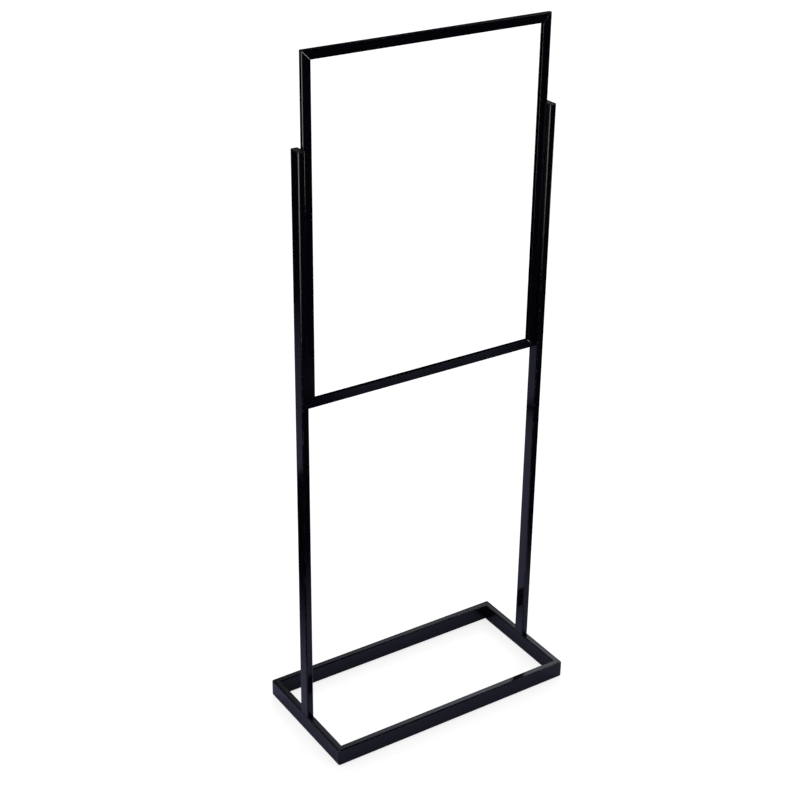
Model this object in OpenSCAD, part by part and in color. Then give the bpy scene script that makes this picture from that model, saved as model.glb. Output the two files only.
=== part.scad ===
// Floor-standing sign stand: a rectangular tube base, two flat tube posts and an open sign frame
// held between the posts. The frame is a mitred channel that takes a flat sheet from above.
// X runs along the width, Y from front (-) to rear (+), Z up. The origin is on the floor, at the
// centre of the base.

/* [Base] */
// Overall length of the base along X
base_len = 610; // [520:5:700]
// Overall depth of the base along Y
base_dep = 300; // [240:5:400]
// Height of the base tube
rail_h = 40; // [34:1:60]
// Width of the base tube, and of the posts along X
tube_w = 16; // [16:1:24]
// Wall thickness of the base tube and of the posts
tube_wall = 1.5; // [1.2:0.1:1.5]
// Outer corner radius of the tube section
tube_r = 3; // [1:0.5:3]
// Radius of the ground upright edges at the corners of the base
base_corner_r = 4; // [1:0.5:4.5]

/* [Floor glides] */
// Thickness of each glide under the base
glide_h = 2; // [1:0.5:4]
// Radius of each glide
glide_r = 4; // [3:0.5:8]
// Distance of each glide's centre from the end of the base
glide_inset = 20; // [12:1:60]

/* [Posts] */
// Depth of each post along Y
post_dep = 30; // [26:1:45]
// Height of the closed post tops above the floor
post_top = 1356; // [1100:2:1400]
// Thickness of the cap that closes each post
cap_h = 2; // [1:0.5:4]
// Depth of the cap's plug inside the post
cap_plug_h = 14; // [8:1:25]
// Height of the threaded block in the foot of each post
foot_plug_h = 15; // [12:1:30]

/* [Sign frame] */
// Width of the sheet that the frame holds
sheet_w = 559; // [460:1:640]
// Height of the sheet that the frame holds
sheet_h = 711; // [560:1:800]
// Depth to which the rails hide the top and the bottom edge of the sheet
sheet_grip = 6; // [3:0.5:8]
// Height of the underside of the frame above the floor
frame_z = 806; // [700:2:900]
// Width of the frame rails, seen from the front
frame_face = 20; // [16:1:30]
// Depth of the frame rails along Y
frame_dep = 10; // [9:0.5:14]
// Wall thickness of the frame channel
frame_wall = 1.2; // [1:0.1:1.2]
// Outer corner radius of the channel section
frame_r = 1.5; // [0.5:0.1:1.5]
// Width of the slot in the top rail that lets the sheet in
slot_w = 6; // [5:0.2:6]
// Play between the sheet and each end of the slot
slot_play = 1.5; // [1:0.5:3]
// Length of each block that the sheet stands on, inside the bottom rail
rest_len = 30; // [10:5:80]
// Distance of each block's centre from the centre of the frame
rest_x = 180; // [60:10:220]

/* [Corner plates] */
// Length of each leg of a corner plate, from the corner of the frame
plate_leg = 36; // [28:1:50]
// Width of each leg of a corner plate
plate_w = 14; // [10:1:16]
// Thickness of a corner plate
plate_t = 1; // [0.8:0.1:1]

/* [Fasteners] */
// Distance between the two bolts in the foot of each post
bolt_pitch = 14; // [13:0.5:16]
// Length of a foot bolt below its head
bolt_len = 16; // [14:1:18]
// Length of a frame screw below its head
screw_len = 10; // [8:1:12]
// Distance of the frame screws from the frame's underside and from the post tops
screw_inset = 60; // [45:5:100]

/* [Hidden] */

$fn = 48;
// Overlap of a cutting shape past the face it cuts
past = 1;
// Inner corner radius of the tube section
tube_inner_r = 0.5;

rail_top = glide_h + rail_h;
post_x = base_len / 2 - tube_w / 2;
post_tube_h = post_top - cap_h - rail_top;

frame_w = base_len - 2 * tube_w;
frame_h = sheet_h + 2 * (frame_face - sheet_grip);
frame_mid_z = frame_z + frame_h / 2;
groove_w = frame_dep - 2 * frame_wall;

// M6 foot bolts: shank, head, hexagon socket, clearance hole and the hole that a head passes
bolt_r = 3;
bolt_head_r = 5;
bolt_head_h = 6;
bolt_socket_af = 5;
bolt_hole_r = 3.3;
access_r = 6.25;
washer_r = 6;
washer_hole_r = 3.2;
washer_t = 1.6;
washer_top = rail_top - tube_wall;

// M4 frame screws and the thread inserts that they turn into
screw_r = 2;
screw_head_r = 3.5;
screw_head_h = 4;
screw_socket_af = 3;
screw_hole_r = 2.2;
insert_r = 3.5;
insert_len = 9;
insert_bulge_r = 4.5;
insert_bulge_h = 1.5;
screw_heights = [frame_z + screw_inset, post_top - screw_inset];

paint = "#1b1c22";
plastic = "#141418";
zinc = "#b8bcc2";

// Rectangle w by h with corners of radius r, centred
module round_rect(w, h, r) {
    square([w - 2 * r, h], center = true);
    square([w, h - 2 * r], center = true);
    for (x = [-1, 1], y = [-1, 1])
        translate([x * (w / 2 - r), y * (h / 2 - r)])
            circle(r);
}

// Section of a rectangular tube, w by h outside
module tube_section(w, h) {
    difference() {
        round_rect(w, h, tube_r);
        round_rect(w - 2 * tube_wall, h - 2 * tube_wall, tube_inner_r);
    }
}

// Plan of a rail with 45 degree ends: length along X, outer edge at y = 0, inner edge at y = width
module mitred_plan(length, width) {
    polygon([
        [-length / 2, 0],
        [length / 2, 0],
        [length / 2 - width, width],
        [-length / 2 + width, width]
    ]);
}

// Cylinder along +X that starts at the origin
module along_x(h, r, sides = $fn) {
    rotate([0, 90, 0])
        cylinder(h = h, r = r, $fn = sides);
}

// Shapes that repeat on the left and on the right, drawn for the right side
module both_sides() {
    children();
    mirror([1, 0, 0])
        children();
}

// ---- Base ----

// Base rail whose outer face is at y = -reach, turned about the centre of the base
module base_rail(length, reach, turn) {
    rotate([0, 0, turn])
        translate([0, -reach, 0])
            intersection() {
                translate([0, tube_w / 2, glide_h + rail_h / 2])
                    rotate([90, 0, 90])
                        linear_extrude(length, center = true)
                            tube_section(tube_w, rail_h);
                linear_extrude(rail_top + past)
                    mitred_plan(length, tube_w);
            }
}

// Keeps what lies inside the plan of the base with its ground corners
module ground_corners() {
    intersection() {
        children();
        linear_extrude(rail_top + past)
            round_rect(base_len, base_dep, base_corner_r);
    }
}

module base_front_rail() {
    color(paint)
        ground_corners()
            base_rail(base_len, base_dep / 2, 0);
}

module base_rear_rail() {
    color(paint)
        ground_corners()
            base_rail(base_len, base_dep / 2, 180);
}

// Short rail under a post: clearance holes in its top wall, access holes in its underside
module base_side_rail(turn, side) {
    difference() {
        ground_corners()
            base_rail(base_dep, base_len / 2, turn);
        for (y = [-1, 1] * bolt_pitch / 2)
            translate([side * post_x, y, 0]) {
                cylinder(h = rail_top + past, r = bolt_hole_r);
                cylinder(h = rail_top / 2, r = access_r);
            }
    }
}

module base_left_rail() {
    color(paint)
        base_side_rail(-90, -1);
}

module base_right_rail() {
    color(paint)
        base_side_rail(90, 1);
}

module floor_glides() {
    chamfer = 0.5;
    color(plastic)
        for (x = [-1, 1], y = [-1, 1])
            translate([x * (base_len / 2 - glide_inset), y * (base_dep / 2 - tube_w / 2), 0]) {
                cylinder(h = chamfer, r1 = glide_r - chamfer, r2 = glide_r);
                translate([0, 0, chamfer])
                    cylinder(h = glide_h - chamfer, r = glide_r);
            }
}

// ---- Posts ----

// Right post: a flat tube that stands on the short rail, drilled on its inner face
module post() {
    difference() {
        translate([post_x, 0, rail_top])
            linear_extrude(post_tube_h)
                tube_section(tube_w, post_dep);
        for (z = screw_heights)
            translate([frame_w / 2 - past, 0, z])
                along_x(tube_w / 2, insert_r);
    }
}

module left_post() {
    color(paint)
        mirror([1, 0, 0])
            post();
}

module right_post() {
    color(paint)
        post();
}

// Cap of the right post: a flat lid with a hollow plug that grips the inside of the tube
module post_cap() {
    plug_gap = 0.2;
    plug_wall = 1.5;
    plug_w = tube_w - 2 * tube_wall - 2 * plug_gap;
    plug_d = post_dep - 2 * tube_wall - 2 * plug_gap;
    translate([post_x, 0, post_top - cap_h]) {
        linear_extrude(cap_h)
            round_rect(tube_w, post_dep, tube_r);
        translate([0, 0, -cap_plug_h])
            linear_extrude(cap_plug_h)
                difference() {
                    round_rect(plug_w, plug_d, 1);
                    round_rect(plug_w - 2 * plug_wall, plug_d - 2 * plug_wall, 0.5);
                }
    }
}

module left_post_cap() {
    color(plastic)
        mirror([1, 0, 0])
            post_cap();
}

module right_post_cap() {
    color(plastic)
        post_cap();
}

// Steel block in the foot of the right post, tapped for the two foot bolts
module post_foot_plug() {
    translate([post_x, 0, rail_top])
        difference() {
            linear_extrude(foot_plug_h)
                round_rect(tube_w - 2 * tube_wall, post_dep - 2 * tube_wall, 1);
            for (y = [-1, 1] * bolt_pitch / 2)
                translate([0, y, -past])
                    cylinder(h = foot_plug_h + 2 * past, r = bolt_r);
        }
}

module left_post_foot_plug() {
    color(zinc)
        mirror([1, 0, 0])
            post_foot_plug();
}

module right_post_foot_plug() {
    color(zinc)
        post_foot_plug();
}

// Foot bolt that points up, with its head's bearing face at z = 0
module foot_bolt() {
    socket_r = bolt_socket_af / 2 / cos(30);
    cylinder(h = bolt_len, r = bolt_r);
    translate([0, 0, -bolt_head_h])
        difference() {
            cylinder(h = bolt_head_h, r = bolt_head_r);
            translate([0, 0, -past])
                cylinder(h = bolt_head_h / 2 + past, r = socket_r, $fn = 6);
        }
}

module foot_bolts() {
    color(zinc)
        both_sides()
            for (y = [-1, 1] * bolt_pitch / 2)
                translate([post_x, y, washer_top - washer_t])
                    foot_bolt();
}

module foot_bolt_washers() {
    color(zinc)
        both_sides()
            for (y = [-1, 1] * bolt_pitch / 2)
                translate([post_x, y, washer_top - washer_t])
                    linear_extrude(washer_t)
                        difference() {
                            circle(washer_r);
                            circle(washer_hole_r);
                        }
}

// ---- Sign frame ----

// Section of the channel: web along the outer edge at y = 0, groove open towards +y
module channel_section() {
    difference() {
        union() {
            translate([0, frame_face / 2 + frame_r / 2])
                square([frame_dep, frame_face - frame_r], center = true);
            translate([0, frame_face / 2])
                round_rect(frame_dep, frame_face, frame_r);
        }
        translate([-groove_w / 2, frame_wall])
            square([groove_w, frame_face]);
    }
}

// Channel rail with mitred ends in the plane of the frame: outer edge at y = 0, groove towards +y
module frame_rail(length) {
    intersection() {
        rotate([0, 90, 0])
            linear_extrude(length, center = true)
                channel_section();
        translate([0, 0, -frame_dep])
            linear_extrude(2 * frame_dep)
                mitred_plan(length, frame_face);
    }
}

// Stands the flat frame plane up: local x along X, local y up, and the centre of the frame at 0
module in_frame_plane() {
    translate([0, 0, frame_mid_z])
        rotate([90, 0, 0])
            children();
}

module frame_top_rail() {
    slot_len = sheet_w + 2 * slot_play;
    color(paint)
        difference() {
            in_frame_plane()
                rotate([0, 0, 180])
                    translate([0, -frame_h / 2, 0])
                        frame_rail(frame_w);
            translate([0, 0, frame_z + frame_h])
                cube([slot_len, slot_w, 4 * frame_wall], center = true);
        }
}

module frame_bottom_rail() {
    color(paint)
        in_frame_plane()
            translate([0, -frame_h / 2, 0])
                frame_rail(frame_w);
}

// Right rail of the frame, with the holes for the frame screws in its web
module frame_side_rail() {
    difference() {
        in_frame_plane()
            rotate([0, 0, 90])
                translate([0, -frame_w / 2, 0])
                    frame_rail(frame_h);
        for (z = screw_heights)
            translate([frame_w / 2 - 2 * frame_wall, 0, z])
                along_x(4 * frame_wall, screw_hole_r);
    }
}

module frame_left_rail() {
    color(paint)
        mirror([1, 0, 0])
            frame_side_rail();
}

module frame_right_rail() {
    color(paint)
        frame_side_rail();
}

// Pair of L plates, front and rear, in the groove of one corner of the frame
module corner_plates(side, level) {
    inner = frame_wall + plate_w;
    in_frame_plane()
        mirror([side > 0 ? 1 : 0, 0, 0])
            mirror([0, level > 0 ? 1 : 0, 0])
                translate([-frame_w / 2, -frame_h / 2, 0])
                    for (face = [0, 1])
                        mirror([0, 0, face])
                            translate([0, 0, groove_w / 2 - plate_t])
                                linear_extrude(plate_t)
                                    polygon([
                                        [frame_wall, frame_wall],
                                        [plate_leg, frame_wall],
                                        [plate_leg, inner],
                                        [inner, inner],
                                        [inner, plate_leg],
                                        [frame_wall, plate_leg]
                                    ]);
}

module frame_top_left_plates() {
    color(paint)
        corner_plates(-1, 1);
}

module frame_top_right_plates() {
    color(paint)
        corner_plates(1, 1);
}

module frame_bottom_left_plates() {
    color(paint)
        corner_plates(-1, -1);
}

module frame_bottom_right_plates() {
    color(paint)
        corner_plates(1, -1);
}

// Blocks that fill the groove of the bottom rail up to the edge of the sheet
module sheet_rests() {
    rest_h = frame_face - sheet_grip - frame_wall;
    color(plastic)
        for (x = [-1, 1] * rest_x)
            translate([x, 0, frame_z + frame_wall + rest_h / 2])
                cube([rest_len, groove_w, rest_h], center = true);
}

// Frame screw that points to +X, with its head's bearing face at x = 0
module frame_screw() {
    socket_r = screw_socket_af / 2 / cos(30);
    along_x(screw_len, screw_r);
    translate([-screw_head_h, 0, 0])
        difference() {
            along_x(screw_head_h, screw_head_r);
            translate([-past, 0, 0])
                along_x(screw_head_h / 2 + past, socket_r, 6);
        }
}

module frame_screws() {
    color(zinc)
        both_sides()
            for (z = screw_heights)
                translate([frame_w / 2 - frame_wall, 0, z])
                    frame_screw();
}

// Thread insert flush with the inner face of the post, swelled behind the wall
module thread_insert() {
    difference() {
        union() {
            along_x(insert_len, insert_r);
            translate([tube_wall, 0, 0])
                along_x(insert_bulge_h, insert_bulge_r);
        }
        translate([-past, 0, 0])
            along_x(insert_len + 2 * past, screw_r);
    }
}

module post_thread_inserts() {
    color(zinc)
        both_sides()
            for (z = screw_heights)
                translate([frame_w / 2, 0, z])
                    thread_insert();
}

base_front_rail();
base_rear_rail();
base_left_rail();
base_right_rail();
floor_glides();
left_post();
right_post();
left_post_cap();
right_post_cap();
left_post_foot_plug();
right_post_foot_plug();
foot_bolts();
foot_bolt_washers();
frame_top_rail();
frame_bottom_rail();
frame_left_rail();
frame_right_rail();
frame_top_left_plates();
frame_top_right_plates();
frame_bottom_left_plates();
frame_bottom_right_plates();
sheet_rests();
frame_screws();
post_thread_inserts();
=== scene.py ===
"""Floor-standing sign stand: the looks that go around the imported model. All lengths are in metres.

The tubes, channels, caps, glides and sheet rests are rebuilt with the rounded edges and ground mitres of
the real object. Fasteners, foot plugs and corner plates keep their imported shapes.
"""
import math

import bmesh
import bpy
from mathutils import Matrix, Vector


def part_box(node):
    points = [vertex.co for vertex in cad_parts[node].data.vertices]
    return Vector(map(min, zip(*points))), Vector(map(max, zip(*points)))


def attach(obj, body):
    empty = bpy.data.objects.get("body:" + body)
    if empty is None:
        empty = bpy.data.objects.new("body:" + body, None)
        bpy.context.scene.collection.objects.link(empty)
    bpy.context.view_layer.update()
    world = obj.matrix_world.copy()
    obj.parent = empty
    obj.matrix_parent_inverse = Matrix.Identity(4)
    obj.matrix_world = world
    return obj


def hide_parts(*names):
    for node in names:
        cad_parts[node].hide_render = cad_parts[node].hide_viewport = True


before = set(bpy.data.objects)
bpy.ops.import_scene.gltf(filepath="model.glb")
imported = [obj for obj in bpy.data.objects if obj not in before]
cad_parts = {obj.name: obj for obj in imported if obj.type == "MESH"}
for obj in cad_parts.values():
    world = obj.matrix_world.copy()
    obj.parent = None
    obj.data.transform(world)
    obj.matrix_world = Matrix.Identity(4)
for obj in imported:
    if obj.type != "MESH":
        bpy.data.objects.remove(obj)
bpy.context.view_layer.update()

MM = 0.001
UP = Vector((0, 0, 1))

# Meshes
ARC_STEPS = 6
SHARP_ANGLE = math.radians(17)
MERGE_DISTANCE = 1e-7
FACE_AREA_WEIGHT = 100
CUTTER_SIDES = 48
CUT_MARGIN = 1.0 * MM

# Tubes of the base and the posts
TUBE_WALL = 1.5 * MM
TUBE_EDGE_RADIUS = 3.0 * MM
TUBE_INNER_RADIUS = 0.5 * MM
BASE_CORNER_RADIUS = 4.0 * MM
POST_END_CHAMFER = 0.3 * MM

# Channel of the sign frame
CHANNEL_WALL = 1.2 * MM
CHANNEL_EDGE_RADIUS = 2.2 * MM
LIP_EDGE_RADIUS = 0.55 * MM
GROOVE_CORNER_RADIUS = 0.3 * MM
MITRE_GRIND_DEPTH = 0.25 * MM
MITRE_GRIND_WIDTH = 0.7 * MM
SLOT_WIDTH = 6.0 * MM
SLOT_CORNER_RADIUS = 0.4 * MM
SLOT_REACH = 3.6 * MM
SLOT_END_LAND = 8.0 * MM

# Caps on the posts
CAP_LID = 2.0 * MM
CAP_EDGE_RADIUS = 0.9 * MM
CAP_SEAM = 0.25 * MM
PLUG_PLAY = 0.2 * MM
PLUG_WALL = 1.5 * MM
PLUG_CORNER_RADIUS = 1.0 * MM
PLUG_INNER_RADIUS = 0.5 * MM

# Fasteners, and the holes for them
WASHER_RADIUS = 6.0 * MM
BOLT_HOLE_RADIUS = 3.3 * MM
ACCESS_HOLE_RADIUS = 6.25 * MM
ACCESS_HOLE_REACH = 12.0 * MM
INSERT_BULGE_RADIUS = 4.5 * MM
INSERT_HOLE_RADIUS = 3.5 * MM
INSERT_HOLE_REACH = 5.0 * MM
SCREW_HEAD_RADIUS = 3.5 * MM
SCREW_HOLE_RADIUS = 2.2 * MM
SCREW_HOLE_REACH = 4.0 * MM

# Glides
GLIDE_RADIUS = 4.0 * MM
GLIDE_EDGE_RADIUS = 0.6 * MM
GLIDE_DIMPLE_DEPTH = 0.25 * MM
GLIDE_DIMPLE_FLOOR_RADIUS = 1.4 * MM
GLIDE_DIMPLE_RIM_RADIUS = 2.0 * MM
GLIDE_SIDES = 40

# Sheet rests
REST_LENGTH = 30.0 * MM
REST_EDGE_RADIUS = 0.5 * MM
REST_GROOVE_HALF = 1.6 * MM
REST_GROOVE_DEPTH = 0.8 * MM
REST_LIP_RADIUS = 0.3 * MM
REST_GROOVE_RADIUS = 0.2 * MM

# Places of the colour sockets on a Mix node
MIX_FACTOR = 0
MIX_FIRST = 6
MIX_SECOND = 7
MIX_RESULT = 2

# Gloss black coat
COAT_TONE = (0.0011, 0.0011, 0.0024)
COAT_CLOUDING = 0.3
COAT_ROUGHNESS = (0.07, 0.13)
COAT_IOR = 1.47
BASE_PEEL_SCALE = 420.0
POST_PEEL_SCALE = 400.0
FRAME_PEEL_SCALE = 460.0
PEEL_HEIGHT = 0.012 * MM
GRIT_HEIGHT = 0.0015 * MM
# Lighter coat on the rounded edges: partly worn paint, partly a painted highlight
WORN_AND_HIGHLIT_COAT_TONE = (0.030, 0.031, 0.034)
WEAR_AND_HIGHLIGHT_COVER = 0.35
WEAR_ROUGHNESS = 0.14
DUST_TONE = (0.20, 0.20, 0.19)
DUST_COVER = 0.10
DUST_ROUGHNESS = 0.25

# Plastic, rubber and zinc plate
PLASTIC_DARK_TONE = (0.006, 0.006, 0.007)
PLASTIC_LIGHT_TONE = (0.012, 0.012, 0.013)
PLASTIC_ROUGHNESS = (0.24, 0.40)
PLASTIC_IOR = 1.5
GRAIN_HEIGHT = 0.01 * MM
RUBBER_TONE = (0.014, 0.014, 0.015)
BLOOM_TONE = (0.045, 0.045, 0.046)
RUBBER_ROUGHNESS = (0.68, 0.88)
PIT_DEPTH = 0.03 * MM
ZINC_BLUISH_TONE = (0.50, 0.53, 0.57)
ZINC_STRAW_TONE = (0.58, 0.56, 0.50)
ZINC_ROUGHNESS = (0.26, 0.44)
STAIN_TONE = (0.30, 0.30, 0.30)
STAIN_COVER = 0.5
ROLLING_STRETCH = (1.0, 1.0, 14.0)
ROLLING_LINE_HEIGHT = 0.008 * MM

# Studio: the floor glows a little, and gloss mirrors papers and cards in its place
BLACK = (0.0, 0.0, 0.0)
WHITE = (1.0, 1.0, 1.0)
COOL_WHITE = (0.90, 0.97, 1.10)
FLOOR_TONE = (0.32, 0.32, 0.32)
FLOOR_GLOW = 0.73
FLOOR_ROUGHNESS = 0.9
FLOOR_SIZE = 60.0
FLOOR_DROP = 0.2 * MM
PAPER_DROP = 0.1 * MM
NEAR_PAPER_TONE = (0.235, 0.24, 0.37)
FAR_PAPER_TONE = (0.205, 0.21, 0.33)
FRONT_PAPER_TONE = (0.16, 0.165, 0.25)
SUN_STRENGTH = 0.9
SUN_WIDTH = math.radians(24)
SUN_DIRECTION = (-0.55, -0.70, -0.62)
STAND_MIDDLE = (0.0, 0.0, 1.1)
STAND_FOOT = (0.0, 0.0, 0.05)

# Camera: where it stands, measured round the origin, and how it looks, with angles in degrees
CAMERA_AZIMUTH = -34.2
CAMERA_REACH = 3.097
CAMERA_HEIGHT = 2.336
CAMERA_HEADING = 33.26
CAMERA_PITCH = -26.45
CAMERA_ROLL = 0.72
CAMERA_LENS_MM = 73.5
CAMERA_SHIFT_Y = -0.025
CAMERA_CLIP_END = 100.0


# ---- Outlines: closed lists of (u, v, edge), where edge is 1 in the middle of a rounded corner ----

def quarter_turn():
    """Angles of the points along a quarter circle."""
    return [math.pi / 2 * k / ARC_STEPS for k in range(ARC_STEPS + 1)]


def full_turn(sides):
    """Angles of evenly spaced points round a circle."""
    return [2 * math.pi * k / sides for k in range(sides)]


def rounded_outline(corners):
    """Outline through right-angled corners, each (u, v, radius), with an arc at every corner."""
    points = []
    for i, (u, v, radius) in enumerate(corners):
        corner = Vector((u, v))
        to_last = (Vector(corners[i - 1][:2]) - corner).normalized()
        to_next = (Vector(corners[(i + 1) % len(corners)][:2]) - corner).normalized()
        centre = corner + (to_last + to_next) * radius
        for angle in quarter_turn():
            point = centre - to_next * radius * math.cos(angle) - to_last * radius * math.sin(angle)
            points.append((point.x, point.y, math.sin(2 * angle)))
    return points


def rectangle_outline(width, height, radius):
    """Rounded rectangle, centred on the origin."""
    u, v = width / 2, height / 2
    return rounded_outline([(-u, -v, radius), (u, -v, radius), (u, v, radius), (-u, v, radius)])


def channel_outline(depth, face, shrink):
    """Channel with its web along v = 0 and its groove open towards +v, drawn in by shrink all round."""
    side = depth / 2 - shrink
    groove = depth / 2 - CHANNEL_WALL + shrink
    floor = CHANNEL_WALL - shrink
    tip = face - shrink
    edge = CHANNEL_EDGE_RADIUS - shrink
    lip = LIP_EDGE_RADIUS - shrink
    inner = GROOVE_CORNER_RADIUS + shrink
    return rounded_outline([
        (-side, shrink, edge), (side, shrink, edge),
        (side, tip, lip), (groove, tip, lip),
        (groove, floor, inner), (-groove, floor, inner),
        (-groove, tip, lip), (-side, tip, lip),
    ])


# ---- Meshes ----

def join_loops(bm, lower, upper):
    """Band of quads between two closed loops with the same number of vertices."""
    count = len(lower)
    for i in range(count):
        j = (i + 1) % count
        bm.faces.new((lower[i], lower[j], upper[j], upper[i]))


def loft(name, rings, cyclic=False):
    """Solid through rings of (point, edge) pairs: closed on itself if cyclic, otherwise capped."""
    bm = bmesh.new()
    edge_layer = bm.verts.layers.float.new("edge")
    loops = []
    for ring in rings:
        loop = [bm.verts.new(point) for point, _ in ring]
        for vert, (_, edge) in zip(loop, ring):
            vert[edge_layer] = edge
        loops.append(loop)
    pairs = list(zip(loops, loops[1:]))
    if cyclic:
        pairs.append((loops[-1], loops[0]))
    else:
        bm.faces.new(reversed(loops[0]))
        bm.faces.new(loops[-1])
    for lower, upper in pairs:
        join_loops(bm, lower, upper)
    return piece_from(name, bm)


def piece_from(name, bm):
    """New object made from bm, cleaned, with its normals outwards."""
    bmesh.ops.remove_doubles(bm, verts=bm.verts, dist=MERGE_DISTANCE)
    bmesh.ops.dissolve_degenerate(bm, edges=bm.edges, dist=MERGE_DISTANCE)
    bmesh.ops.recalc_face_normals(bm, faces=bm.faces)
    mesh = bpy.data.meshes.new(name)
    bm.to_mesh(mesh)
    bm.free()
    piece = bpy.data.objects.new(name, mesh)
    bpy.context.scene.collection.objects.link(piece)
    return piece


def cut(piece, cutters):
    """Subtracts the cutters from piece for good."""
    for cutter in cutters:
        modifier = piece.modifiers.new("cut", "BOOLEAN")
        modifier.operation = "DIFFERENCE"
        modifier.solver = "EXACT"
        modifier.object = cutter
    graph = bpy.context.evaluated_depsgraph_get()
    mesh = bpy.data.meshes.new_from_object(piece.evaluated_get(graph))
    piece.modifiers.clear()
    piece.data = mesh
    for cutter in cutters:
        bpy.data.objects.remove(cutter)


def round_cutter(centre, axis, radius, length):
    """Cutter: a round bar that starts at centre and runs along axis."""
    turn = Vector(axis).to_track_quat("Z", "Y").to_matrix()
    ring = [Vector((math.cos(a), math.sin(a), 0)) * radius for a in full_turn(CUTTER_SIDES)]
    rings = [[(centre + turn @ (p + UP * z), 0.0) for p in ring] for z in (0, length)]
    return loft("cutter", rings)


def shade(piece):
    """Smooth over rounded edges, sharp over real ones, and flat faces that stay flat."""
    bm = bmesh.new()
    bm.from_mesh(piece.data)
    for face in bm.faces:
        face.smooth = True
    for edge in bm.edges:
        edge.smooth = edge.is_manifold and edge.calc_face_angle(0) < SHARP_ANGLE
    bm.to_mesh(piece.data)
    bm.free()
    weighted = piece.modifiers.new("weighted_normals", "WEIGHTED_NORMAL")
    weighted.keep_sharp = True
    weighted.weight = FACE_AREA_WEIGHT


def finish_piece(piece, material, node):
    """Shades the piece, gives it its material, hangs it under the root body and hides the CAD node that it
    stands for.
    """
    shade(piece)
    piece.data.materials.clear()
    piece.data.materials.append(material)
    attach(piece, "root")
    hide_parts(node)


# ---- Base ----

def base_outer_size():
    """Length and depth of the base, outside."""
    left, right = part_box("base_left_rail")[0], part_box("base_right_rail")[1]
    front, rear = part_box("base_front_rail")[0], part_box("base_rear_rail")[1]
    return right.x - left.x, rear.y - front.y


def corner_angles():
    """Angles of the rings that turn from square across a base rail to its mitre."""
    return [math.radians(90 - 45 * k / ARC_STEPS) for k in range(ARC_STEPS + 1)]


def base_rail_rings(outline, length, bottom):
    """Rings along a rail with its outer face at y = 0. Near the outer face they turn with the ground
    corners, and behind that they stay on the mitres."""
    radius = BASE_CORNER_RADIUS
    turns = [(-1, a) for a in reversed(corner_angles())] + [(1, a) for a in corner_angles()]
    rings = []
    for side, angle in turns:
        ring = []
        for inset, height, edge in outline:
            if inset < radius:
                reach = (radius - inset) * math.cos(angle)
                away = radius - (radius - inset) * math.sin(angle)
            else:
                reach = radius - inset
                away = inset
            ring.append((Vector((side * (length / 2 - radius + reach), away, bottom + height)), edge))
        rings.append(ring)
    return rings


def base_rail(name, length, reach, turn):
    """Hollow rail of the base, mitred, with ground corners, turned about the centre of the base."""
    low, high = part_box("base_front_rail")
    width, height = high.y - low.y, high.z - low.z
    outer = rectangle_outline(width, height, TUBE_EDGE_RADIUS)
    inner = rectangle_outline(width - 2 * TUBE_WALL, height - 2 * TUBE_WALL, TUBE_INNER_RADIUS)
    shells = []
    for outline in (outer, inner):
        placed = [(u + width / 2, v + height / 2, edge) for u, v, edge in outline]
        shells.append(base_rail_rings(placed, length, low.z))
    rings = shells[0] + list(reversed(shells[1]))
    for ring in rings:
        ring[:] = [(Vector((p.x, p.y - reach, p.z)), edge) for p, edge in ring]
    piece = loft(name, rings, cyclic=True)
    piece.data.transform(Matrix.Rotation(math.radians(turn), 4, "Z"))
    return piece


def foot_holes(side):
    """Cutters for the bolt holes and the access holes in the rail under one post."""
    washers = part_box("foot_bolt_washers")
    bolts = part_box("foot_bolts")
    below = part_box("base_front_rail")[0].z - CUT_MARGIN
    bolt_length = bolts[1].z - bolts[0].z
    pitch = (washers[1].y - WASHER_RADIUS) * 2
    x = side * (washers[1].x - WASHER_RADIUS)
    cutters = []
    for y in (-pitch / 2, pitch / 2):
        cutters.append(round_cutter(Vector((x, y, bolts[0].z)), UP, BOLT_HOLE_RADIUS, bolt_length))
        cutters.append(round_cutter(Vector((x, y, below)), UP, ACCESS_HOLE_RADIUS, ACCESS_HOLE_REACH))
    return cutters


def make_base(paint):
    """Four rails, with holes for the posts' bolts in the short ones."""
    length, depth = base_outer_size()
    rails = [
        ("front", length, depth / 2, 0),
        ("rear", length, depth / 2, 180),
        ("left", depth, length / 2, -90),
        ("right", depth, length / 2, 90),
    ]
    for side, rail_length, reach, turn in rails:
        rail = base_rail(f"base_{side}_tube", rail_length, reach, turn)
        if side in ("left", "right"):
            cut(rail, foot_holes(-1 if side == "left" else 1))
        finish_piece(rail, paint, f"base_{side}_rail")


# ---- Posts and caps ----

def level_ring(outline, centre, z):
    """Ring of an outline laid flat round centre, at height z."""
    return [(Vector((centre.x + u, centre.y + v, z)), edge) for u, v, edge in outline]


def post_tube(name, node):
    """Hollow post with a small chamfer round each end."""
    low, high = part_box(node)
    width, depth = high.x - low.x, high.y - low.y
    centre = (low + high) / 2
    chamfer = POST_END_CHAMFER
    full = rectangle_outline(width, depth, TUBE_EDGE_RADIUS)
    ends = rectangle_outline(width - 2 * chamfer, depth - 2 * chamfer, TUBE_EDGE_RADIUS - chamfer)
    bore = rectangle_outline(width - 2 * TUBE_WALL, depth - 2 * TUBE_WALL, TUBE_INNER_RADIUS)
    rings = [
        level_ring(ends, centre, low.z),
        level_ring(full, centre, low.z + chamfer),
        level_ring(full, centre, high.z - chamfer),
        level_ring(ends, centre, high.z),
        level_ring(bore, centre, high.z),
        level_ring(bore, centre, low.z),
    ]
    return loft(name, rings, cyclic=True)


def insert_holes(side):
    """Cutters for the thread inserts in the inner face of one post."""
    low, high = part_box("post_thread_inserts")
    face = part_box("right_post")[0].x
    start = Vector((side * (face - CUT_MARGIN), 0, 0))
    cutters = []
    for z in (low.z + INSERT_BULGE_RADIUS, high.z - INSERT_BULGE_RADIUS):
        cutters.append(round_cutter(start + UP * z, (side, 0, 0), INSERT_HOLE_RADIUS, INSERT_HOLE_REACH))
    return cutters


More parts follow.
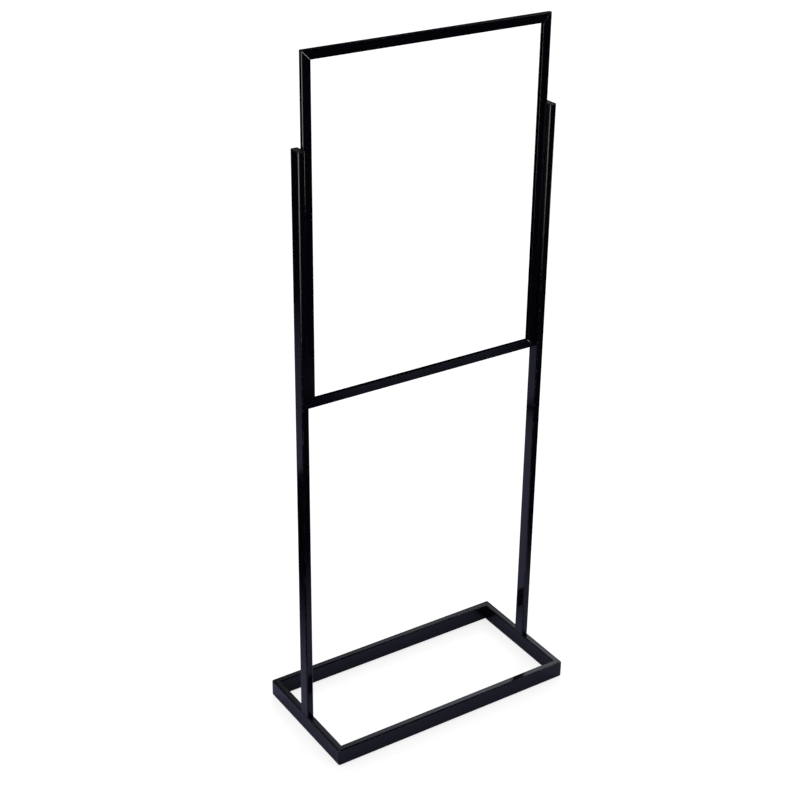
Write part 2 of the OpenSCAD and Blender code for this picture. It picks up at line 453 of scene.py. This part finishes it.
def post_cap(name, node):
    """Cap with a rounded lid and the hollow plug that grips the inside of the tube."""
    low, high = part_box(node)
    width, depth = high.x - low.x, high.y - low.y
    centre = (low + high) / 2
    plug_w = width - 2 * (TUBE_WALL + PLUG_PLAY)
    plug_d = depth - 2 * (TUBE_WALL + PLUG_PLAY)
    hollow_w, hollow_d = plug_w - 2 * PLUG_WALL, plug_d - 2 * PLUG_WALL
    under = high.z - CAP_LID
    hollow = rectangle_outline(hollow_w, hollow_d, PLUG_INNER_RADIUS)
    plug = rectangle_outline(plug_w, plug_d, PLUG_CORNER_RADIUS)
    rim = rectangle_outline(width - 2 * CAP_SEAM, depth - 2 * CAP_SEAM, TUBE_EDGE_RADIUS - CAP_SEAM)
    full = rectangle_outline(width, depth, TUBE_EDGE_RADIUS)
    rings = [
        level_ring(hollow, centre, under),
        level_ring(hollow, centre, low.z),
        level_ring(plug, centre, low.z),
        level_ring(plug, centre, under),
        level_ring(rim, centre, under),
        level_ring(full, centre, under + CAP_SEAM),
    ]
    for angle in quarter_turn():
        inset = CAP_EDGE_RADIUS * (1 - math.cos(angle))
        rounded = rectangle_outline(width - 2 * inset, depth - 2 * inset, TUBE_EDGE_RADIUS - inset)
        z = high.z - CAP_EDGE_RADIUS * (1 - math.sin(angle))
        rings.append(level_ring(rounded, centre, z))
    return loft(name, rings)


def make_posts(paint, plastic):
    """Two tubes, each with its cap."""
    for side, sign in (("left", -1), ("right", 1)):
        tube = post_tube(f"{side}_post_tube", f"{side}_post")
        cut(tube, insert_holes(sign))
        finish_piece(tube, paint, f"{side}_post")
        cap = post_cap(f"{side}_cap", f"{side}_post_cap")
        finish_piece(cap, plastic, f"{side}_post_cap")


# ---- Sign frame ----

def frame_rail(name, length, reach, turn):
    """Mitred channel rail with its faces ground down a little at the mitres. It is made as the bottom
    rail and turned about the centre of the frame."""
    low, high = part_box("frame_bottom_rail")
    depth, face = high.y - low.y, high.z - low.z
    mitre = channel_outline(depth, face, MITRE_GRIND_DEPTH)
    full = channel_outline(depth, face, 0.0)
    rings = []
    for outline, side, back in ((mitre, -1, 0), (full, -1, 1), (full, 1, 1), (mitre, 1, 0)):
        ring = []
        for u, v, edge in outline:
            x = side * (length / 2 - v - back * MITRE_GRIND_WIDTH * math.sqrt(2))
            ring.append((Vector((x, u, v - reach)), edge))
        rings.append(ring)
    piece = loft(name, rings)
    centre = (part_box("frame_left_rail")[0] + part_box("frame_right_rail")[1]) / 2
    turned = Matrix.Translation(centre) @ Matrix.Rotation(math.radians(turn), 4, "Y")
    piece.data.transform(turned)
    return piece


def sheet_slot():
    """Cutter for the slot in the top rail that lets the sheet in: a long bar with round-cornered ends."""
    low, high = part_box("frame_top_rail")
    length = high.x - low.x - 2 * SLOT_END_LAND
    outline = rectangle_outline(length, SLOT_WIDTH, SLOT_CORNER_RADIUS)
    centre = Vector((0, 0, 0))
    heights = (high.z - SLOT_REACH, high.z + CUT_MARGIN)
    return loft("cutter", [level_ring(outline, centre, z) for z in heights])


def screw_holes(side):
    """Cutters for the frame screws in the web of one side rail."""
    low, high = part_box("frame_screws")
    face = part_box("frame_right_rail")[1].x
    start = Vector((side * (face + CUT_MARGIN), 0, 0))
    cutters = []
    for z in (low.z + SCREW_HEAD_RADIUS, high.z - SCREW_HEAD_RADIUS):
        cutters.append(round_cutter(start + UP * z, (-side, 0, 0), SCREW_HOLE_RADIUS, SCREW_HOLE_REACH))
    return cutters


def make_frame(paint):
    """Four channels, with the sheet slot in the top one and screw holes in the side ones."""
    low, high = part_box("frame_left_rail")[0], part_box("frame_right_rail")[1]
    width, height = high.x - low.x, high.z - low.z
    rails = [
        ("bottom", width, height / 2, 0),
        ("top", width, height / 2, 180),
        ("left", height, width / 2, 90),
        ("right", height, width / 2, -90),
    ]
    for side, length, reach, turn in rails:
        rail = frame_rail(f"frame_{side}_channel", length, reach, turn)
        if side == "top":
            cut(rail, [sheet_slot()])
        if side in ("left", "right"):
            cut(rail, screw_holes(-1 if side == "left" else 1))
        finish_piece(rail, paint, f"frame_{side}_rail")


# ---- Small parts ----

def glide_profile(low, high):
    """Points (radius, height) from the dimple, round the lower edge and up the side of a glide."""
    profile = [(GLIDE_DIMPLE_FLOOR_RADIUS, low + GLIDE_DIMPLE_DEPTH), (GLIDE_DIMPLE_RIM_RADIUS, low)]
    for angle in quarter_turn():
        r = GLIDE_RADIUS - GLIDE_EDGE_RADIUS + GLIDE_EDGE_RADIUS * math.sin(angle)
        z = low + GLIDE_EDGE_RADIUS - GLIDE_EDGE_RADIUS * math.cos(angle)
        profile.append((r, z))
    profile.append((GLIDE_RADIUS, high))
    return profile


def make_glides(rubber):
    """Round glides with a soft lower edge and a shallow dimple, one under each corner of the base."""
    low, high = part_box("floor_glides")
    bm = bmesh.new()
    turns = full_turn(GLIDE_SIDES)
    for x in (low.x + GLIDE_RADIUS, high.x - GLIDE_RADIUS):
        for y in (low.y + GLIDE_RADIUS, high.y - GLIDE_RADIUS):
            loops = []
            for r, z in glide_profile(low.z, high.z):
                loops.append([bm.verts.new((x + r * math.cos(a), y + r * math.sin(a), z)) for a in turns])
            bm.faces.new(reversed(loops[0]))
            bm.faces.new(loops[-1])
            for lower, upper in zip(loops, loops[1:]):
                join_loops(bm, lower, upper)
    finish_piece(piece_from("base_glides", bm), rubber, "floor_glides")


def make_sheet_rests(plastic):
    """Blocks that the sheet stands on, with softened edges and a shallow groove for the sheet."""
    low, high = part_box("sheet_rests")
    half = (high.y - low.y) / 2
    height = high.z - low.z
    groove = height - REST_GROOVE_DEPTH
    section = rounded_outline([
        (-half, 0, REST_EDGE_RADIUS), (half, 0, REST_EDGE_RADIUS),
        (half, height, REST_EDGE_RADIUS), (REST_GROOVE_HALF, height, REST_LIP_RADIUS),
        (REST_GROOVE_HALF, groove, REST_GROOVE_RADIUS), (-REST_GROOVE_HALF, groove, REST_GROOVE_RADIUS),
        (-REST_GROOVE_HALF, height, REST_LIP_RADIUS), (-half, height, REST_EDGE_RADIUS),
    ])
    for side, x in (("left", low.x + REST_LENGTH / 2), ("right", high.x - REST_LENGTH / 2)):
        rings = []
        for end in (-REST_LENGTH / 2, REST_LENGTH / 2):
            rings.append([(Vector((x + end, u, low.z + v)), edge) for u, v, edge in section])
        block = loft(f"sheet_rest_{side}", rings)
        finish_piece(block, plastic, "sheet_rests")


# ---- Materials ----

class Nodes:
    """Short way to build a node tree: most calls add a node and give back its output."""

    def __init__(self, name):
        self.material = bpy.data.materials.new(name)
        self.material.use_nodes = True
        self.tree = self.material.node_tree
        self.tree.nodes.clear()
        self.output = self.tree.nodes.new("ShaderNodeOutputMaterial")

    def add(self, kind, **settings):
        node = self.tree.nodes.new(kind)
        for key, value in settings.items():
            setattr(node, key, value)
        return node

    def link(self, source, target):
        self.tree.links.new(source, target)

    def place(self, stretch=(1, 1, 1)):
        """Place on the object, in metres, stretched along each axis."""
        coordinates = self.add("ShaderNodeTexCoord")
        mapping = self.add("ShaderNodeMapping")
        mapping.inputs["Scale"].default_value = stretch
        self.link(coordinates.outputs["Object"], mapping.inputs["Vector"])
        return mapping.outputs["Vector"]

    def noise(self, place, scale, detail, roughness=0.5):
        """Noise with about scale spots to the metre."""
        node = self.add("ShaderNodeTexNoise")
        node.inputs["Scale"].default_value = scale
        node.inputs["Detail"].default_value = detail
        node.inputs["Roughness"].default_value = roughness
        self.link(place, node.inputs["Vector"])
        return node.outputs["Fac"]

    def remap(self, value, span, to=(0.0, 1.0), smoothing="LINEAR"):
        """Value carried from the two ends of span to the two ends of to."""
        node = self.add("ShaderNodeMapRange", interpolation_type=smoothing)
        node.inputs["From Min"].default_value = span[0]
        node.inputs["From Max"].default_value = span[1]
        node.inputs["To Min"].default_value = to[0]
        node.inputs["To Max"].default_value = to[1]
        self.link(value, node.inputs["Value"])
        return node.outputs["Result"]

    def math(self, operation, first, second):
        node = self.add("ShaderNodeMath", operation=operation)
        for socket, value in zip(node.inputs, (first, second)):
            if isinstance(value, float):
                socket.default_value = value
            else:
                self.link(value, socket)
        return node.outputs["Value"]

    def mix(self, factor, first, second):
        """Colour between first and second."""
        node = self.add("ShaderNodeMix", data_type="RGBA")
        self.link(factor, node.inputs[MIX_FACTOR])
        for index, value in ((MIX_FIRST, first), (MIX_SECOND, second)):
            if isinstance(value, tuple):
                node.inputs[index].default_value = (*value, 1.0)
            else:
                self.link(value, node.inputs[index])
        return node.outputs[MIX_RESULT]

    def bump(self, height, distance, strength=1.0, under=None):
        node = self.add("ShaderNodeBump")
        node.inputs["Strength"].default_value = strength
        node.inputs["Distance"].default_value = distance
        self.link(height, node.inputs["Height"])
        if under is not None:
            self.link(under, node.inputs["Normal"])
        return node.outputs["Normal"]

    def surface(self, colour, roughness, normal, **constants):
        """Principled surface, and the finished material."""
        shader = self.add("ShaderNodeBsdfPrincipled")
        self.link(colour, shader.inputs["Base Color"])
        self.link(roughness, shader.inputs["Roughness"])
        self.link(normal, shader.inputs["Normal"])
        for key, value in constants.items():
            shader.inputs[key].default_value = value
        self.link(shader.outputs["BSDF"], self.output.inputs["Surface"])
        return self.material


def gloss_paint(name, peel_scale):
    """Gloss black coat on steel: orange peel, faint haze, a lighter coat in patches on the rounded edges
    (partly worn paint, partly a painted highlight), and dust on top.
    """
    n = Nodes(name)
    place = n.place()
    cloud = n.noise(place, scale=9.0, detail=3.0)
    haze = n.noise(place, scale=60.0, detail=4.0)
    peel = n.noise(place, scale=peel_scale, detail=1.5)
    grit = n.noise(place, scale=2600.0, detail=2.0)

    edge = n.add("ShaderNodeAttribute", attribute_name="edge").outputs["Fac"]
    patches = n.remap(n.noise(place, scale=140.0, detail=4.0), span=(0.52, 0.68))
    wear_and_highlight = n.math("MULTIPLY", edge, patches)

    normal = n.add("ShaderNodeNewGeometry").outputs["Normal"]
    split = n.add("ShaderNodeSeparateXYZ")
    n.link(normal, split.inputs["Vector"])
    upward = n.remap(split.outputs["Z"], span=(0.6, 1.0))
    specks = n.remap(n.noise(place, scale=900.0, detail=3.0), span=(0.60, 0.72))
    dust = n.math("MULTIPLY", upward, specks)

    dark = tuple((1 - COAT_CLOUDING) * c for c in COAT_TONE)
    light = tuple((1 + COAT_CLOUDING) * c for c in COAT_TONE)
    coat = n.mix(cloud, dark, light)
    # Rounded edges painted lighter in patches: partly worn paint, partly a painted highlight
    worn_and_highlit = n.mix(n.math("MULTIPLY", wear_and_highlight, WEAR_AND_HIGHLIGHT_COVER), coat, WORN_AND_HIGHLIT_COAT_TONE)
    colour = n.mix(n.math("MULTIPLY", dust, DUST_COVER), worn_and_highlit, DUST_TONE)

    smooth = n.remap(haze, span=(0.3, 0.7), to=COAT_ROUGHNESS)
    rubbed = n.math("ADD", smooth, n.math("MULTIPLY", wear_and_highlight, WEAR_ROUGHNESS))
    roughness = n.math("ADD", rubbed, n.math("MULTIPLY", dust, DUST_ROUGHNESS))

    coarse = n.bump(peel, PEEL_HEIGHT)
    fine = n.bump(grit, GRIT_HEIGHT, strength=0.6, under=coarse)
    return n.surface(colour, roughness, fine, IOR=COAT_IOR)


def moulded_plastic(name):
    """Black moulded plastic with a fine matt grain."""
    n = Nodes(name)
    place = n.place()
    cloud = n.noise(place, scale=40.0, detail=3.0)
    grain = n.noise(place, scale=3200.0, detail=3.0, roughness=0.6)
    colour = n.mix(cloud, PLASTIC_DARK_TONE, PLASTIC_LIGHT_TONE)
    roughness = n.remap(grain, span=(0.3, 0.7), to=PLASTIC_ROUGHNESS)
    normal = n.bump(grain, GRAIN_HEIGHT, strength=0.5)
    return n.surface(colour, roughness, normal, IOR=PLASTIC_IOR)


def glide_rubber(name):
    """Dark rubber with a chalky bloom and fine pits."""
    n = Nodes(name)
    place = n.place()
    bloom = n.noise(place, scale=220.0, detail=4.0, roughness=0.6)
    pits = n.noise(place, scale=2400.0, detail=2.0)
    colour = n.mix(n.remap(bloom, span=(0.35, 0.75)), RUBBER_TONE, BLOOM_TONE)
    roughness = n.remap(bloom, span=(0.3, 0.7), to=RUBBER_ROUGHNESS)
    return n.surface(colour, roughness, n.bump(pits, PIT_DEPTH, strength=0.7))


def zinc_steel(name):
    """Zinc-plated steel: bluish and straw patches of passivation, with fine rolling lines."""
    n = Nodes(name)
    place = n.place()
    lines = n.noise(n.place(stretch=ROLLING_STRETCH), scale=420.0, detail=3.0)
    patches = n.remap(n.noise(place, scale=130.0, detail=3.0), span=(0.35, 0.65))
    stains = n.remap(n.noise(place, scale=480.0, detail=4.0), span=(0.55, 0.75), to=(0.0, STAIN_COVER))
    plate = n.mix(patches, ZINC_BLUISH_TONE, ZINC_STRAW_TONE)
    colour = n.mix(stains, plate, STAIN_TONE)
    roughness = n.remap(lines, span=(0.3, 0.7), to=ZINC_ROUGHNESS)
    normal = n.bump(lines, ROLLING_LINE_HEIGHT, strength=0.6)
    return n.surface(colour, roughness, normal, Metallic=1.0)


def paint_cad_node(node, material):
    """Gives a carried-over CAD node its finish."""
    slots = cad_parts[node].data.materials
    for index in range(len(slots)):
        slots[index] = material


# ---- Floor, light and camera ----

def plane(name, width, depth):
    """Flat stage piece about its own origin, that faces its own +Z."""
    bm = bmesh.new()
    corners = [(-1, -1), (1, -1), (1, 1), (-1, 1)]
    bm.faces.new([bm.verts.new((x * width / 2, y * depth / 2, 0)) for x, y in corners])
    piece = piece_from(name, bm)
    return piece


def only_in_gloss(piece):
    """Leaves a stage piece for gloss to mirror, and hides it from everything else."""
    piece.visible_camera = False
    piece.visible_diffuse = False
    piece.visible_shadow = False


def soft_edges(n, width, depth, fades):
    """Value over a plane of this size: 1 inside, and down to 0 at its left, right, near and far edges."""
    split = n.add("ShaderNodeSeparateXYZ")
    n.link(n.place(), split.inputs["Vector"])
    value = None
    for axis, edge, inward, fade in zip("XXYY", (-width, width, -depth, depth), (1, -1, 1, -1), fades):
        span = (edge / 2, edge / 2 + inward * fade)
        side = n.remap(split.outputs[axis], span, smoothing="SMOOTHSTEP")
        value = side if value is None else n.math("MULTIPLY", value, side)
    return value


def make_floor():
    """Plain white floor. The gloss paint mirrors the sheets of paper in place of it."""
    n = Nodes("floor_white")
    shader = n.add("ShaderNodeBsdfPrincipled")
    shader.inputs["Base Color"].default_value = (*FLOOR_TONE, 1.0)
    shader.inputs["Roughness"].default_value = FLOOR_ROUGHNESS
    shader.inputs["Specular IOR Level"].default_value = 0.0
    shader.inputs["Emission Color"].default_value = (*WHITE, 1.0)
    shader.inputs["Emission Strength"].default_value = FLOOR_GLOW
    n.link(shader.outputs["BSDF"], n.output.inputs["Surface"])
    floor = plane("floor", FLOOR_SIZE, FLOOR_SIZE)
    floor.location.z = -FLOOR_DROP
    floor.data.materials.append(n.material)
    floor.visible_glossy = False


def paper(name, centre, size, fades, tone):
    """Sheet on the floor with faded edges, which shows in gloss only."""
    n = Nodes(name)
    shader = n.add("ShaderNodeBsdfDiffuse")
    n.link(n.mix(soft_edges(n, *size, fades), BLACK, tone), shader.inputs["Color"])
    n.link(shader.outputs["BSDF"], n.output.inputs["Surface"])
    sheet = plane(name, *size)
    sheet.location = (*centre, -PAPER_DROP)
    sheet.data.materials.append(n.material)
    only_in_gloss(sheet)


def card(name, place, target, size, fades, tone, strength):
    """Glowing card with faded edges, turned towards target, which shows in gloss only."""
    n = Nodes(name)
    shader = n.add("ShaderNodeEmission")
    shader.inputs["Color"].default_value = (*tone, 1.0)
    n.link(n.math("MULTIPLY", soft_edges(n, *size, fades), strength), shader.inputs["Strength"])
    n.link(shader.outputs["Emission"], n.output.inputs["Surface"])
    board = plane(name, *size)
    board.location = place
    board.rotation_mode = "QUATERNION"
    board.rotation_quaternion = (Vector(target) - Vector(place)).to_track_quat("Z", "Y")
    board.data.materials.append(n.material)
    only_in_gloss(board)


def make_world():
    """White room that lights the floor evenly and isn't mirrored in the paint."""
    world = bpy.data.worlds.new("white_room")
    world.use_nodes = True
    background = world.node_tree.nodes["Background"]
    background.inputs["Color"].default_value = (*WHITE, 1.0)
    background.inputs["Strength"].default_value = 1.0
    bpy.context.scene.world = world
    world.cycles_visibility.glossy = False


def make_sun():
    """Wide, even light from behind on the right, which throws the soft shadows on the floor."""
    data = bpy.data.lights.new("sun", "SUN")
    data.energy = SUN_STRENGTH
    data.angle = SUN_WIDTH
    light = bpy.data.objects.new("sun", data)
    light.rotation_mode = "QUATERNION"
    light.rotation_quaternion = Vector(SUN_DIRECTION).to_track_quat("-Z", "Y")
    light.visible_glossy = False
    bpy.context.scene.collection.objects.link(light)


def make_papers():
    """Sheets on the floor, which the upright faces mirror as a dark blue-grey."""
    paper("paper_near", centre=(0.02, 0.135), size=(1.28, 1.67), fades=(0.30, 0.28, 0.36, 0.01),
          tone=NEAR_PAPER_TONE)
    paper("paper_far", centre=(-0.9, 1.6), size=(2.8, 1.2), fades=(2.2, 0.3, 0.05, 0.5),
          tone=FAR_PAPER_TONE)
    paper("paper_front", centre=(0.95, -1.45), size=(0.9, 0.4), fades=(0.2, 0.2, 0.15, 0.15),
          tone=FRONT_PAPER_TONE)


def make_cards():
    """Soft-edged cards round the stand: the light lines and faces that the gloss paint mirrors."""
    # Upright, to the left and right of the camera's line, for the lines along posts and side rails
    card("card_left", place=(-1.683, -0.767, 0.97), target=STAND_MIDDLE, size=(0.70, 1.7),
         fades=(0.12, 0.12, 0.6, 0.6), tone=WHITE, strength=9.0)
    card("card_front", place=(-0.723, -1.703, 0.97), target=STAND_MIDDLE, size=(0.50, 1.7),
         fades=(0.1, 0.1, 0.6, 0.6), tone=WHITE, strength=9.0)
    # Small, turned to the frame's top left and bottom right corners, for the lines on their mitres
    card("card_right_high", place=(1.63, -1.26, 1.75), target=(-0.28, 0.0, 1.54), size=(0.5, 0.5),
         fades=(0.12, 0.12, 0.12, 0.12), tone=WHITE, strength=9.0)
    card("card_right_low", place=(1.75, -0.83, 0.61), target=(0.28, 0.0, 0.82), size=(0.5, 0.4),
         fades=(0.12, 0.12, 0.12, 0.12), tone=WHITE, strength=9.0)
    # High in front on the right, for the edges that face up and forwards
    card("card_over_front", place=(1.85, -2.0, 2.2), target=(0.2, 0.0, 1.5), size=(0.7, 0.4),
         fades=(0.2, 0.2, 0.1, 0.1), tone=WHITE, strength=3.0)
    # Far off on three sides, for the faces that point up
    card("card_back", place=(4.3, 4.3, 4.9), target=STAND_FOOT, size=(5.7, 2.2),
         fades=(2.8, 2.8, 0.8, 0.8), tone=COOL_WHITE, strength=1.5)
    card("card_back_left", place=(-4.2, 4.2, 2.8), target=STAND_FOOT, size=(2.6, 1.5),
         fades=(0.8, 0.8, 0.4, 0.4), tone=COOL_WHITE, strength=0.8)
    card("card_front_right", place=(4.2, -4.2, 2.2), target=STAND_FOOT, size=(2.6, 1.5),
         fades=(0.8, 0.8, 0.4, 0.4), tone=COOL_WHITE, strength=0.8)


def make_camera():
    """Camera on the left in front, above the stand and turned down to it."""
    azimuth = math.radians(CAMERA_AZIMUTH)
    heading = math.radians(CAMERA_HEADING)
    pitch = math.radians(CAMERA_PITCH)
    forward = Vector((
        math.sin(heading) * math.cos(pitch),
        math.cos(heading) * math.cos(pitch),
        math.sin(pitch),
    ))
    right = forward.cross(UP).normalized()
    up = right.cross(forward)
    turn = Matrix((right, up, -forward)).transposed() @ Matrix.Rotation(math.radians(CAMERA_ROLL), 3, "Z")
    camera = bpy.data.objects.new("camera", bpy.data.cameras.new("camera"))
    camera.matrix_world = Matrix.Translation((
        math.sin(azimuth) * CAMERA_REACH,
        -math.cos(azimuth) * CAMERA_REACH,
        CAMERA_HEIGHT,
    )) @ turn.to_4x4()
    camera.data.lens = CAMERA_LENS_MM
    camera.data.shift_y = CAMERA_SHIFT_Y
    camera.data.clip_end = CAMERA_CLIP_END
    bpy.context.scene.collection.objects.link(camera)
    bpy.context.scene.camera = camera


def main():
    """Camera and light first, then every piece of the stand."""
    bpy.context.scene.view_settings.view_transform = "Standard"
    make_camera()
    make_world()
    make_sun()
    make_floor()
    make_papers()
    make_cards()

    plastic = moulded_plastic("cap_black_plastic")
    steel = zinc_steel("zinc_plate")
    make_base(gloss_paint("base_gloss_black", BASE_PEEL_SCALE))
    make_posts(gloss_paint("post_gloss_black", POST_PEEL_SCALE), plastic)
    frame_paint = gloss_paint("frame_gloss_black", FRAME_PEEL_SCALE)
    make_frame(frame_paint)
    make_glides(glide_rubber("glide_black_rubber"))
    make_sheet_rests(plastic)
    for corner in ("top_left", "top_right", "bottom_left", "bottom_right"):
        paint_cad_node(f"frame_{corner}_plates", frame_paint)
    for node in (
        "left_post_foot_plug", "right_post_foot_plug", "foot_bolts", "foot_bolt_washers",
        "frame_screws", "post_thread_inserts",
    ):
        paint_cad_node(node, steel)


main()
